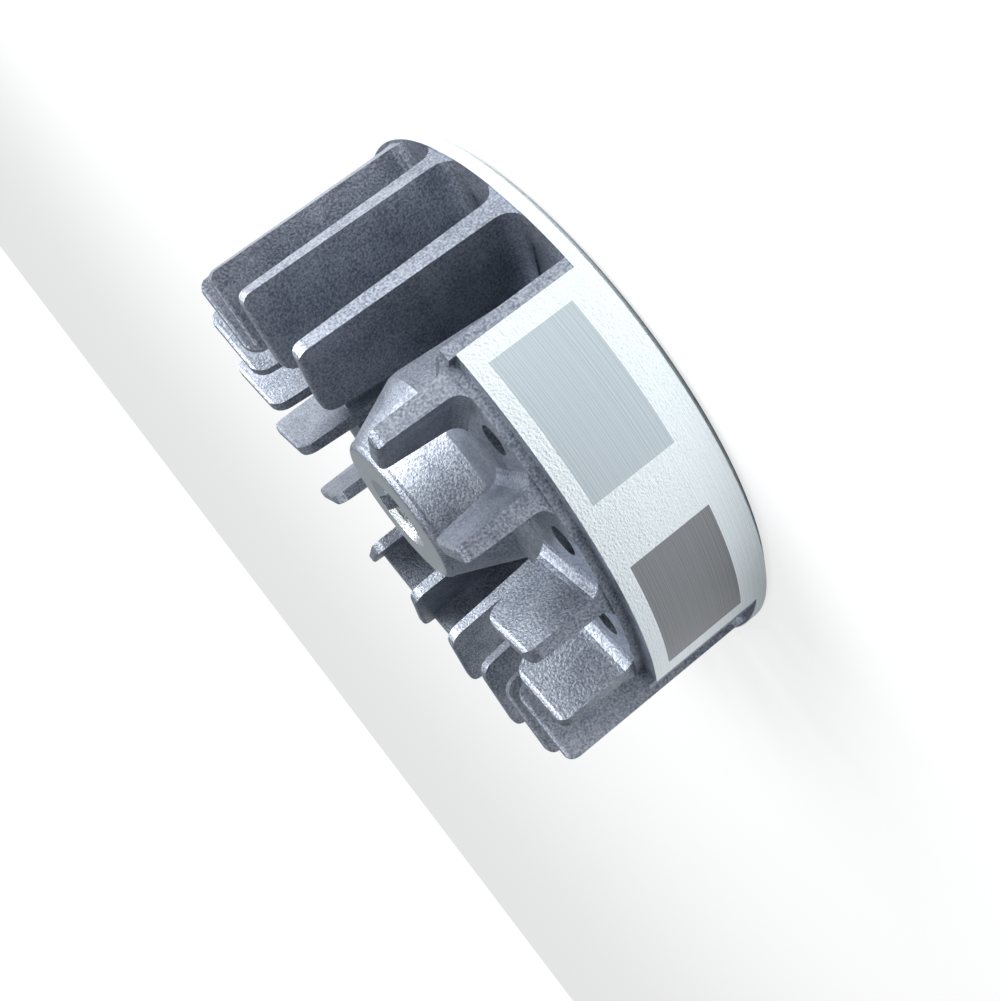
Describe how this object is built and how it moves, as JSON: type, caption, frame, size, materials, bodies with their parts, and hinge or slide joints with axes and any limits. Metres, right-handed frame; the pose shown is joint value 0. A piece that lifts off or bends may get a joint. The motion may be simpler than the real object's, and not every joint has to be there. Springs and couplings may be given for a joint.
{
  "type": "brush cutter flywheel",
  "caption": "Cast aluminium flywheel with cooling fan blades, a keyed hub, and steel pole shoes and a magnet cast into its rim.",
  "frame": {"origin": "on the shaft axis at the back face of the rim", "axes": "+Z along the shaft axis from the back face to the blades, with the magnet centred on -Y"},
  "size_m": [0.1, 0.1, 0.04],
  "materials": {
    "cast_aluminium": "blasted die casting, turned on the rim, the segment and the nose",
    "pole_steel_left": "turned steel with fine lines round the axis",
    "pole_steel_right": "turned steel, darker",
    "magnet": "matt grey magnet, sealed in the casting"
  },
  "bodies": {
    "root": {"wheel_casting": "cast_aluminium", "pole_shoe_left": "pole_steel_left", "pole_shoe_right": "pole_steel_right", "magnet": "magnet"}
  },
  "joints": []
}
